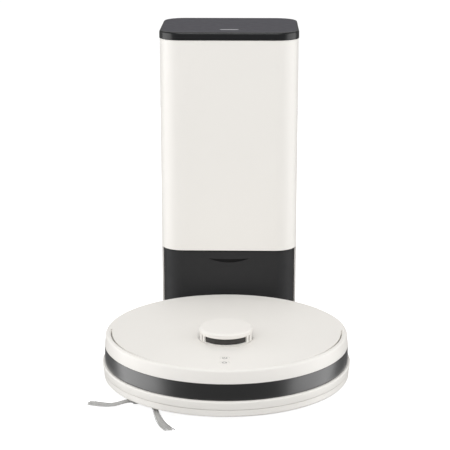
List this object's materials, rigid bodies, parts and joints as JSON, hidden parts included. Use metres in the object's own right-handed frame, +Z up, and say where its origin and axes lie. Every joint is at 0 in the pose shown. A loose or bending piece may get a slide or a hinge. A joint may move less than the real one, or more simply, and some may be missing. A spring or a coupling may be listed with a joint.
{
  "type": "robot vacuum",
  "caption": "Round robot vacuum with a laser turret and side brush, docked in front of a tall rounded emptying station with a hinged lid.",
  "frame": {"origin": "middle of the station's flat underside, on the floor", "axes": "+Z up, -Y towards the front, where the robot stands docked, +X to the right seen from the front"},
  "size_m": [0.3641, 0.5551, 0.469],
  "materials": {
    "white_shell": "fine satin moulded plastic",
    "white_cover": "satin moulded plastic",
    "dark_panel": "fine satin moulded plastic",
    "dark_gloss": "polished infrared-clear plastic",
    "lid_rim": "gloss plastic",
    "lid_top": "matte plastic",
    "light_lens": "frosted lens",
    "smoked_window": "smoked window",
    "black_plastic": "moulded plastic",
    "grey_plastic": "moulded plastic",
    "clear_smoke": "tinted bin plastic",
    "soft_rubber": "soft rubber",
    "tyre_rubber": "ribbed tyre rubber",
    "steel": "drawn steel",
    "contact_metal": "plated contact",
    "circuit_board": "circuit board with parts",
    "battery_wrap": "shrink wrap",
    "bag_fabric": "non-woven filter fabric",
    "card": "pressed card",
    "filter_media": "pleated filter paper",
    "bristle": "nylon bristle",
    "brush_rubber": "rubber and nylon brush",
    "motor_metal": "pressed steel can",
    "fan_plastic": "moulded fan case"
  },
  "bodies": {
    "station": {"station_base": "dark_panel", "station_screws": "steel", "rubber_feet": "soft_rubber", "dock_panel": "dark_panel", "signal_window": "dark_gloss", "front_cover": "white_shell", "rear_shell": "white_shell", "exhaust_grille": "dark_panel", "exhaust_filter": "filter_media", "power_inlet": "black_plastic", "suction_duct": "black_plastic", "bag_chamber": "grey_plastic", "station_fan": "fan_plastic", "power_board": "circuit_board", "top_frame": "black_plastic", "lid_hinge_pins": "steel", "charging_pins": "contact_metal", "port_gasket": "soft_rubber"},
    "lid": {"station_lid": "lid_rim", "lid_top_panel": "lid_top", "lid_status_light": "light_lens", "lid_seal": "soft_rubber"},
    "bag": {"dust_bag": "bag_fabric", "bag_collar": "card"},
    "robot": {"base_pan": "white_shell", "upper_housing": "white_shell", "rear_band": "dark_gloss", "bumper_switches": "black_plastic", "turret_base": "white_shell", "turret_window": "smoked_window", "turret_cap": "white_cover", "battery": "battery_wrap", "main_board": "circuit_board", "vacuum_fan": "fan_plastic", "side_brush_motor": "motor_metal", "main_brush_motor": "black_plastic", "brush_guard": "grey_plastic", "robot_screws": "steel", "cliff_sensors": "smoked_window", "charging_pads": "contact_metal"},
    "bumper": {"bumper_shell": "white_shell", "bumper_window": "dark_gloss"},
    "cover": {"top_cover": "white_cover"},
    "power_key": {"power_button": "white_cover"},
    "home_key": {"home_button": "white_cover"},
    "bin": {"dust_bin": "clear_smoke", "bin_filter": "filter_media"},
    "lidar": {"lidar_rotor": "black_plastic"},
    "left_arm": {"left_wheel_arm": "black_plastic"},
    "right_arm": {"right_wheel_arm": "black_plastic"},
    "left_wheel": {"left_wheel_hub": "grey_plastic", "left_tyre": "tyre_rubber"},
    "right_wheel": {"right_wheel_hub": "grey_plastic", "right_tyre": "tyre_rubber"},
    "caster": {"caster_fork": "black_plastic"},
    "caster_roller": {"caster_wheel": "grey_plastic"},
    "side_brush": {"side_brush_hub": "black_plastic", "side_brush_bristles": "bristle"},
    "roller_brush": {"main_brush": "brush_rubber"}
  },
  "joints": [
    {"name": "undock", "type": "slide", "parent": "station", "child": "robot", "axis": [0, -1, 0], "range_m": [0, 0.3]},
    {"name": "lid_hinge", "type": "hinge", "parent": "station", "child": "lid", "pos_m": [0, 0.086, 0.4616], "axis": [-1, 0, 0], "range_deg": [0, 80]},
    {"name": "bag_lift", "type": "slide", "parent": "station", "child": "bag", "axis": [0, 0, 1], "range_m": [0, 0.09]},
    {"name": "bumper_press", "type": "slide", "parent": "robot", "child": "bumper", "axis": [0, 1, 0], "range_m": [0, 0.0035], "stiffness_N_per_m": 400, "springref_m": -0.003},
    {"name": "cover_lift", "type": "slide", "parent": "robot", "child": "cover", "axis": [0, 0, 1], "range_m": [0, 0.1]},
    {"name": "power_press", "type": "slide", "parent": "cover", "child": "power_key", "axis": [0, 0, -1], "range_m": [0, 0.0008], "stiffness_N_per_m": 400, "springref_m": -0.001},
    {"name": "home_press", "type": "slide", "parent": "cover", "child": "home_key", "axis": [0, 0, -1], "range_m": [0, 0.0008], "stiffness_N_per_m": 400, "springref_m": -0.001},
    {"name": "bin_lift", "type": "slide", "parent": "robot", "child": "bin", "axis": [0, 0, 1], "range_m": [0, 0.05]},
    {"name": "lidar_spin", "type": "hinge", "parent": "robot", "child": "lidar", "pos_m": [0, -0.305, 0.067], "axis": [0, 0, 1], "continuous": true},
    {"name": "left_suspension", "type": "hinge", "parent": "robot", "child": "left_arm", "pos_m": [-0.096, -0.31, 0.027], "axis": [-1, 0, 0], "range_deg": [0, 18]},
    {"name": "left_wheel_spin", "type": "hinge", "parent": "left_arm", "child": "left_wheel", "pos_m": [-0.118, -0.262, 0.03], "axis": [1, 0, 0], "continuous": true},
    {"name": "right_suspension", "type": "hinge", "parent": "robot", "child": "right_arm", "pos_m": [0.096, -0.31, 0.027], "axis": [-1, 0, 0], "range_deg": [0, 18]},
    {"name": "right_wheel_spin", "type": "hinge", "parent": "right_arm", "child": "right_wheel", "pos_m": [0.118, -0.262, 0.03], "axis": [1, 0, 0], "continuous": true},
    {"name": "caster_swivel", "type": "hinge", "parent": "robot", "child": "caster", "pos_m": [0, -0.4085, 0.028], "axis": [0, 0, 1], "continuous": true},
    {"name": "caster_spin", "type": "hinge", "parent": "caster", "child": "caster_roller", "pos_m": [0, -0.4055, 0.0105], "axis": [1, 0, 0], "continuous": true},
    {"name": "side_brush_spin", "type": "hinge", "parent": "robot", "child": "side_brush", "pos_m": [-0.101, -0.38, 0.018], "axis": [0, 0, 1], "continuous": true},
    {"name": "roller_spin", "type": "hinge", "parent": "robot", "child": "roller_brush", "pos_m": [0, -0.267, 0.024], "axis": [1, 0, 0], "continuous": true}
  ],
  "couplings": [
    {"joint": "bag_lift", "follows": "lid_hinge", "m_per_rad": 0.055},
    {"joint": "bin_lift", "follows": "cover_lift", "ratio": 0.5}
  ]
}
